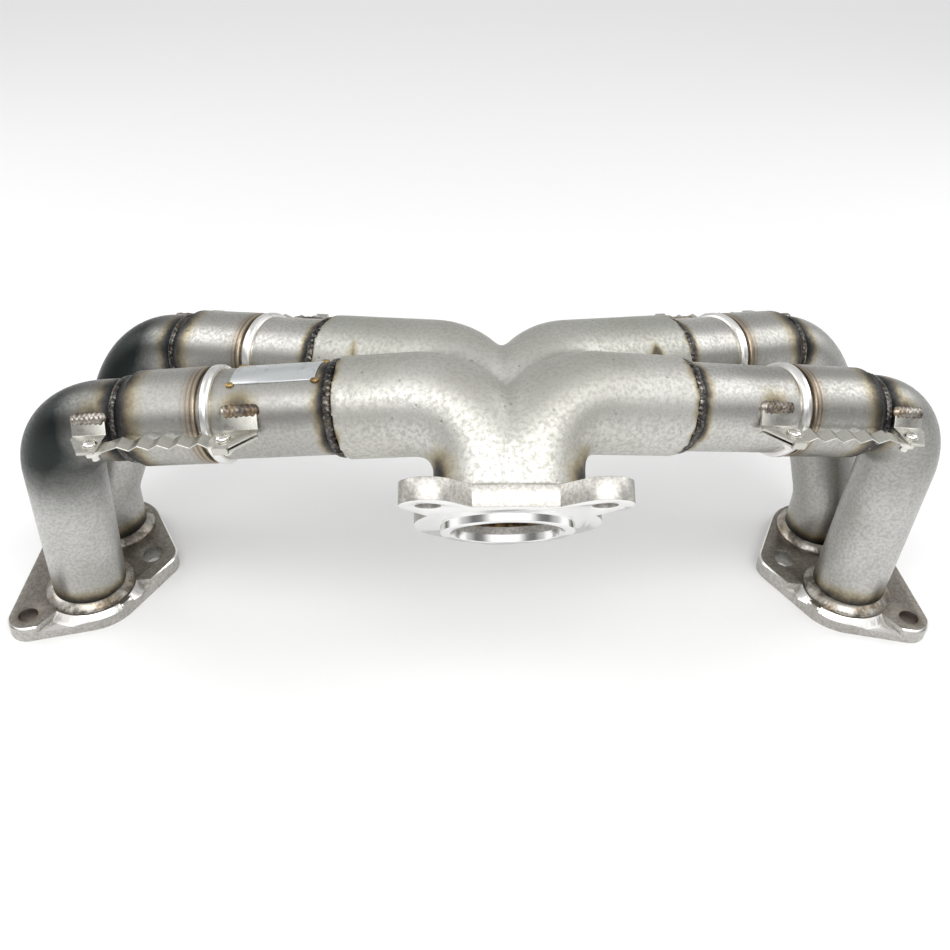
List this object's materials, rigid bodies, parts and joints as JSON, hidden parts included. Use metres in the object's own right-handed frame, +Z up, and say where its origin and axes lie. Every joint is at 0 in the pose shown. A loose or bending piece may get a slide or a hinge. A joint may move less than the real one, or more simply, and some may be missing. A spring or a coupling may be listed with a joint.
{
  "type": "exhaust manifold",
  "caption": "Tubular turbo exhaust manifold: head flanges, bent runners with strapped slip joints, cast collector and a tilted outlet flange.",
  "frame": {"origin": "on the head-gasket plane, at the middle of the manifold's bounding box", "axes": "+X from the left bank to the right bank, +Y to the rear (the outlet faces -Y and down), +Z up from the head-gasket plane"},
  "size_m": [0.539, 0.2291, 0.1924],
  "materials": {
    "cast_stainless": "sand-cast, bead-blasted fine grain",
    "tube_stainless": "blasted tube with straw and blue heat tint",
    "tinted_elbow": "blasted tube, grey-brown heat tint at the bends",
    "flange_plate": "laser-cut plate, blasted, machined chamfers",
    "machined_face": "turned bright sealing face",
    "weld_metal": "rippled TIG weld bead",
    "bright_ring": "turned bright ring",
    "sheet_stainless": "pressed thin sheet",
    "plate_sheet": "thin satin plate, left blank",
    "screw_steel": "bright plated fastener"
  },
  "bodies": {
    "collector": {"collector_body": "cast_stainless", "collector_branch_front_left": "cast_stainless", "collector_branch_front_right": "cast_stainless", "collector_branch_rear_left": "cast_stainless", "collector_branch_rear_right": "cast_stainless", "collector_neck": "cast_stainless", "collector_weld_front_left": "weld_metal", "collector_weld_front_right": "weld_metal", "collector_weld_rear_left": "weld_metal", "collector_weld_rear_right": "weld_metal", "id_plate": "plate_sheet", "id_plate_tacks": "weld_metal", "inner_clip_front_left": "sheet_stainless", "inner_clip_front_right": "sheet_stainless", "inner_clip_nuts": "screw_steel", "inner_clip_rear_left": "sheet_stainless", "inner_clip_rear_right": "sheet_stainless", "inner_clip_screws": "screw_steel", "inner_clip_welds": "weld_metal", "inner_tube_front_left": "tube_stainless", "inner_tube_front_right": "tube_stainless", "inner_tube_rear_left": "tube_stainless", "inner_tube_rear_right": "tube_stainless", "outlet_flange": "machined_face", "stop_ring_front_left": "bright_ring", "stop_ring_front_right": "bright_ring", "stop_ring_rear_left": "bright_ring", "stop_ring_rear_right": "bright_ring", "strap_front_left": "sheet_stainless", "strap_front_right": "sheet_stainless", "strap_rear_left": "sheet_stainless", "strap_rear_right": "sheet_stainless"},
    "left_bank": {"elbow_runner_front_left": "tinted_elbow", "elbow_runner_rear_left": "tinted_elbow", "head_flange_left": "flange_plate", "outer_clip_front_left": "sheet_stainless", "outer_clip_nuts_left": "screw_steel", "outer_clip_rear_left": "sheet_stainless", "outer_clip_screws_left": "screw_steel", "outer_clip_welds_left": "weld_metal", "port_weld_front_left": "weld_metal", "port_weld_rear_left": "weld_metal", "sleeve_weld_front_left": "weld_metal", "sleeve_weld_rear_left": "weld_metal", "slip_sleeve_front_left": "tube_stainless", "slip_sleeve_rear_left": "tube_stainless"},
    "right_bank": {"elbow_runner_front_right": "tinted_elbow", "elbow_runner_rear_right": "tinted_elbow", "head_flange_right": "flange_plate", "outer_clip_front_right": "sheet_stainless", "outer_clip_nuts_right": "screw_steel", "outer_clip_rear_right": "sheet_stainless", "outer_clip_screws_right": "screw_steel", "outer_clip_welds_right": "weld_metal", "port_weld_front_right": "weld_metal", "port_weld_rear_right": "weld_metal", "sleeve_weld_front_right": "weld_metal", "sleeve_weld_rear_right": "weld_metal", "slip_sleeve_front_right": "tube_stainless", "slip_sleeve_rear_right": "tube_stainless"}
  },
  "joints": [
    {"name": "left_slip", "type": "slide", "parent": "collector", "child": "left_bank", "axis": [-0.9318, 0.3122, -0.185], "range_m": [-0.0015, 0.0015], "stiffness_N_per_m": 20000, "deforming": ["strap_front_left", "strap_rear_left"]},
    {"name": "right_slip", "type": "slide", "parent": "collector", "child": "right_bank", "axis": [0.9119, 0.3603, -0.1967], "range_m": [-0.0015, 0.0015], "stiffness_N_per_m": 20000, "deforming": ["strap_front_right", "strap_rear_right"]}
  ]
}
